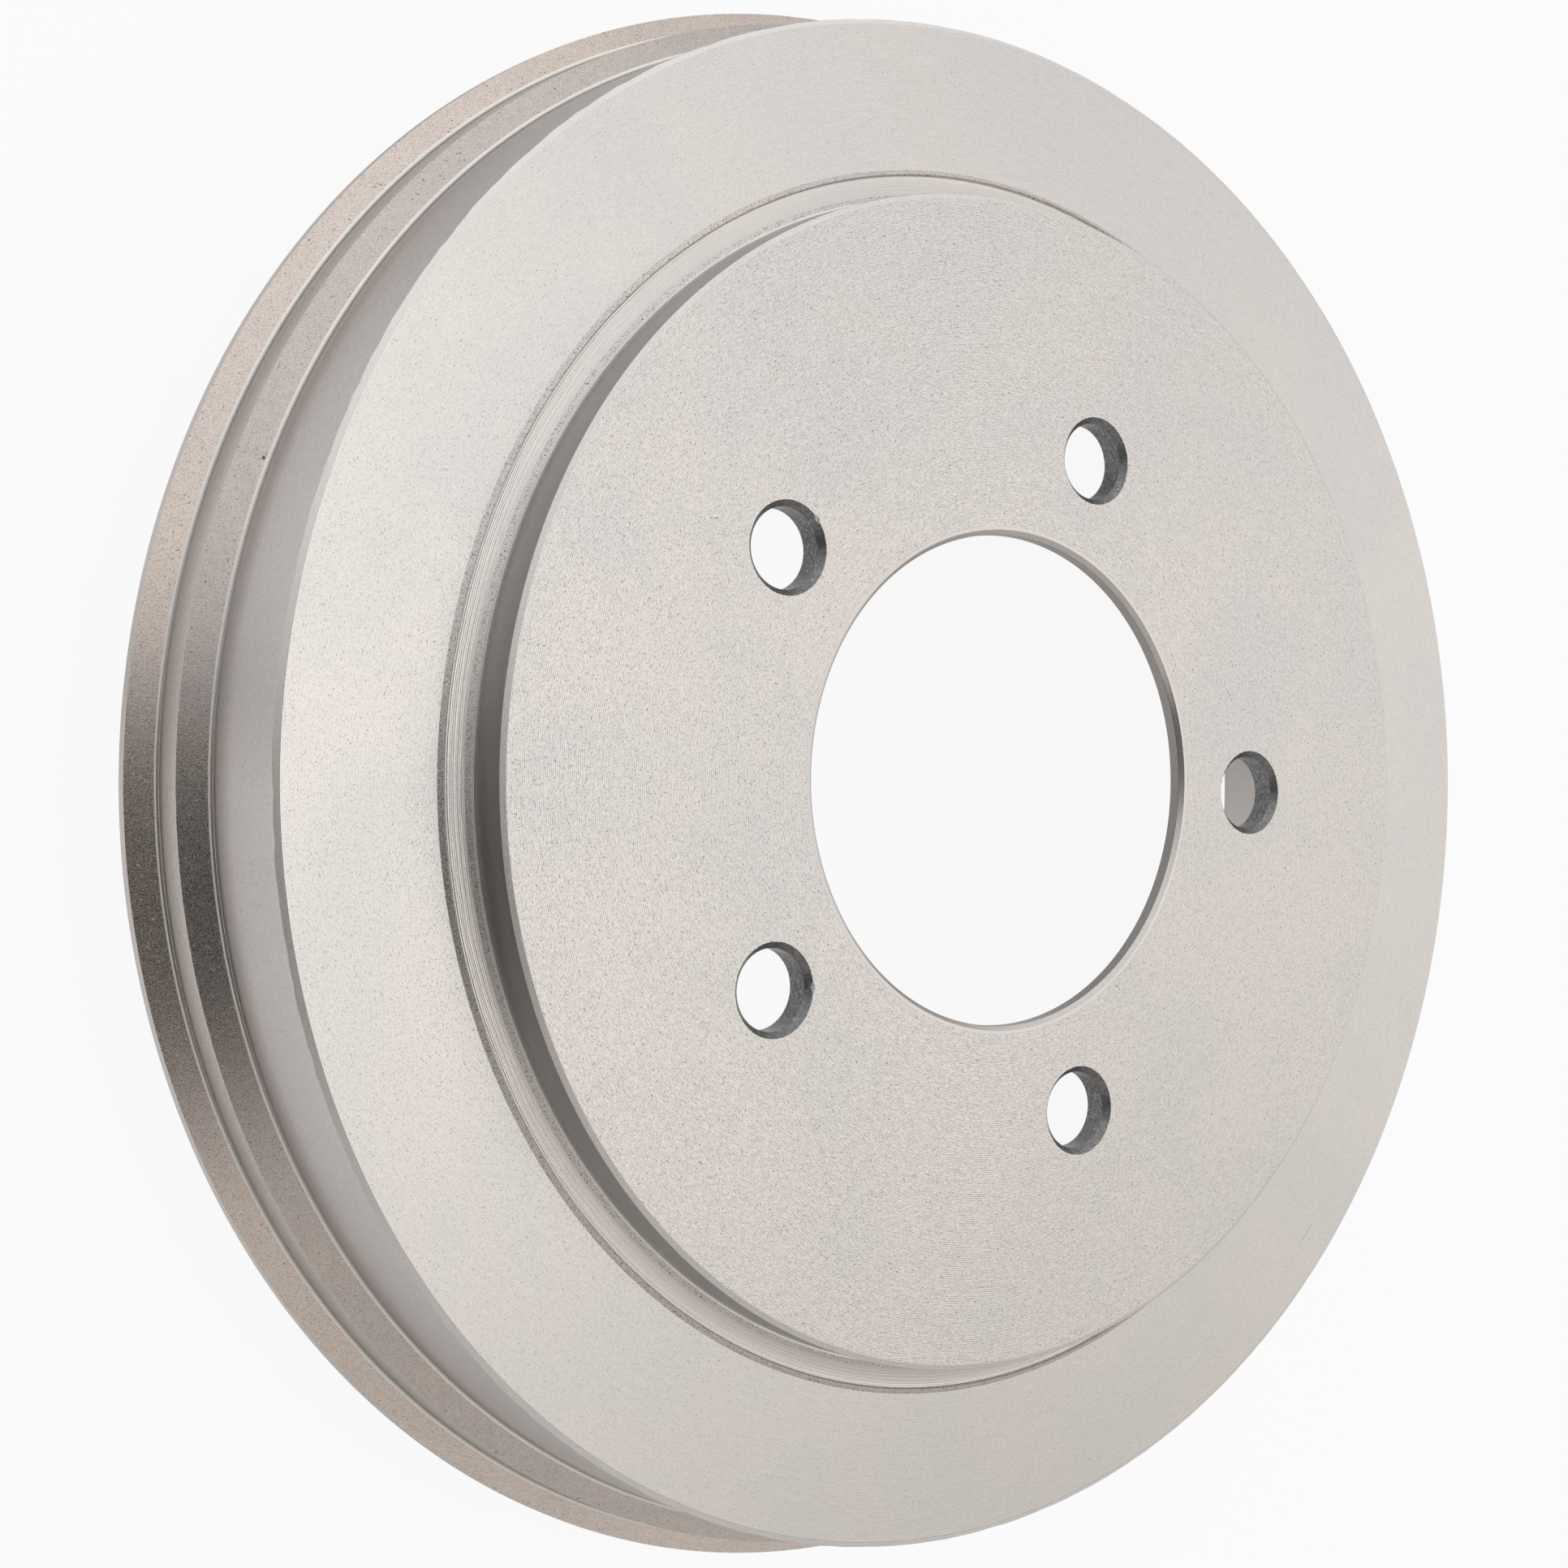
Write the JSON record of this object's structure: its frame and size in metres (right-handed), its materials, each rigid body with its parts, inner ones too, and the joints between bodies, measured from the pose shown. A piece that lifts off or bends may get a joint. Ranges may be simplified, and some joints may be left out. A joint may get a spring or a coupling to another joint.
{
  "type": "brake drum",
  "caption": "Turned cast-iron brake drum with a raised wheel face, bolt circle and pilot bore, a stepped outer ring with a thin rim, and a bored friction surface inside.",
  "frame": {"origin": "centre of the flat open rim that the drum stands on", "axes": "+Z along the axle's axis from the open rim to the wheel face, +X through one lug hole"},
  "size_m": [0.2648, 0.2648, 0.0613],
  "materials": {
    "drum_iron": "turned all over with fine concentric tool marks, under a thin pale warm-grey metallic coating; the lug holes are bare dark iron"
  },
  "bodies": {
    "root": {"brake_drum": "drum_iron"}
  },
  "joints": []
}
